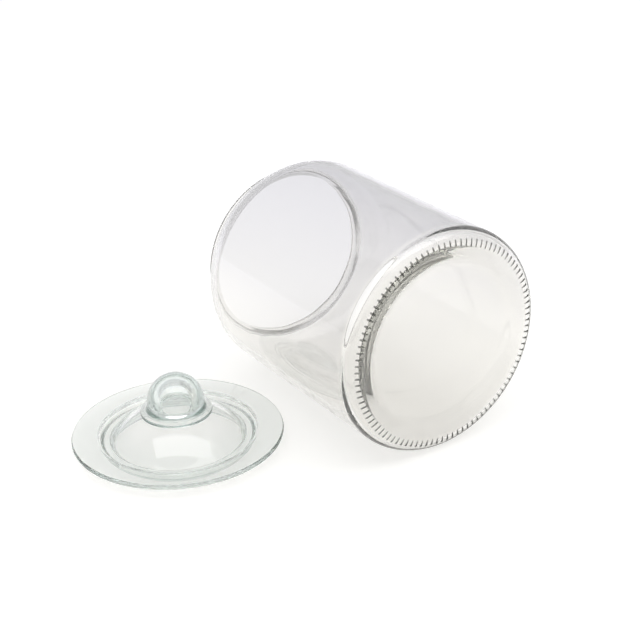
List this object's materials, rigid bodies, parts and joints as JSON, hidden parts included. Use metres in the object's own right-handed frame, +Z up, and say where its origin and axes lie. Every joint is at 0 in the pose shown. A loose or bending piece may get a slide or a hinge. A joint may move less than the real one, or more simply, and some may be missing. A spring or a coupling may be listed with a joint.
{
  "type": "glass jar with knobbed lid",
  "caption": "Clear glass storage jar lying on its side with a stippled standing ring, beside its flanged glass lid with a domed middle and a hollow round knob.",
  "frame": {"origin": "on the surface that the jar and the lid lie on, under the middle of the box that holds the two", "axes": "+Y along the jar's axis, from its base to its mouth; +Z up, along the lid's axis to its knob; +X from the lid towards the jar"},
  "size_m": [0.2214, 0.1456, 0.12],
  "materials": {
    "jar_glass": "clear moulded glass, nearly colourless, fire polished",
    "lid_glass": "clear pressed glass with a pale green tint",
    "knob_glass": "clear thick glass with a pale green tint"
  },
  "bodies": {
    "jar": {"jar_body": "jar_glass"},
    "lid": {"lid_dish": "lid_glass", "lid_knob": "knob_glass"}
  },
  "joints": [
    {"name": "lid_lift", "type": "slide", "parent": "jar", "child": "lid", "axis": [-0.5, 0, 0.866], "range_m": [0, 0.15]}
  ]
}
